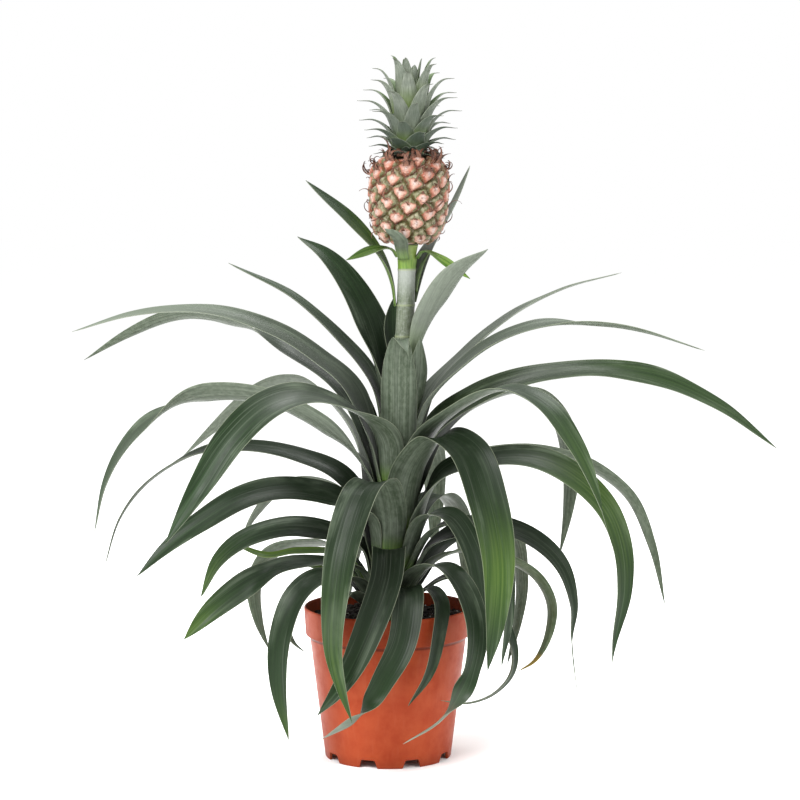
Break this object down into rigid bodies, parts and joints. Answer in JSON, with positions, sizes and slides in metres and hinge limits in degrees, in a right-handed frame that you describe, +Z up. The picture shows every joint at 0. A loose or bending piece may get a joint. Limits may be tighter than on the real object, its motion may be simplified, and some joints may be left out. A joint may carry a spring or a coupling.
{
  "type": "potted pineapple plant",
  "caption": "Young pineapple plant with a small crowned fruit on its stalk and long arching leaves, rooted in soil in a plain nursery pot.",
  "frame": {"origin": "middle of the flat underside of the pot, on the surface it stands on", "axes": "+Z up, -Y towards the front of the plant as pictured, +X to the right of it, the way the stem leans"},
  "size_m": [0.5242, 0.3395, 0.4986],
  "materials": {
    "pot": "satin",
    "soil": "matte",
    "stem": "matte",
    "leaf": "satin",
    "bract": "satin",
    "fruit": "satin",
    "crown": "satin"
  },
  "bodies": {
    "root": {"pot": "pot", "soil": "soil", "stem": "stem", "leaf_upper_1": "leaf", "leaf_upper_2": "leaf", "leaf_upper_3": "leaf", "leaf_upper_4": "leaf", "leaf_upper_5": "leaf", "leaf_upper_6": "leaf", "leaf_upper_7": "leaf", "leaf_left_1": "leaf", "leaf_left_2": "leaf", "leaf_left_3": "leaf", "leaf_left_4": "leaf", "leaf_left_5": "leaf", "leaf_left_6": "leaf", "leaf_left_7": "leaf", "leaf_left_8": "leaf", "leaf_left_9": "leaf", "leaf_left_10": "leaf", "leaf_left_11": "leaf", "leaf_left_12": "leaf", "leaf_left_13": "leaf", "leaf_left_14": "leaf", "leaf_left_15": "leaf", "leaf_front_1": "leaf", "leaf_front_2": "leaf", "leaf_front_3": "leaf", "leaf_front_4": "leaf", "leaf_front_5": "leaf", "leaf_front_6": "leaf", "leaf_front_7": "leaf", "leaf_front_8": "leaf", "leaf_right_1": "leaf", "leaf_right_2": "leaf", "leaf_right_3": "leaf", "leaf_right_4": "leaf", "leaf_right_5": "leaf", "leaf_right_6": "leaf", "leaf_right_7": "leaf", "leaf_right_8": "leaf", "leaf_right_9": "leaf", "leaf_right_10": "leaf", "leaf_right_11": "leaf", "leaf_right_12": "leaf", "leaf_back_1": "leaf", "leaf_back_2": "leaf", "leaf_back_3": "leaf", "leaf_back_4": "leaf", "leaf_back_5": "leaf", "bract_left": "bract", "bract_right": "bract", "bract_side": "bract", "bract_front": "bract", "bract_back": "bract", "fruit": "fruit", "crown": "crown"}
  },
  "joints": []
}
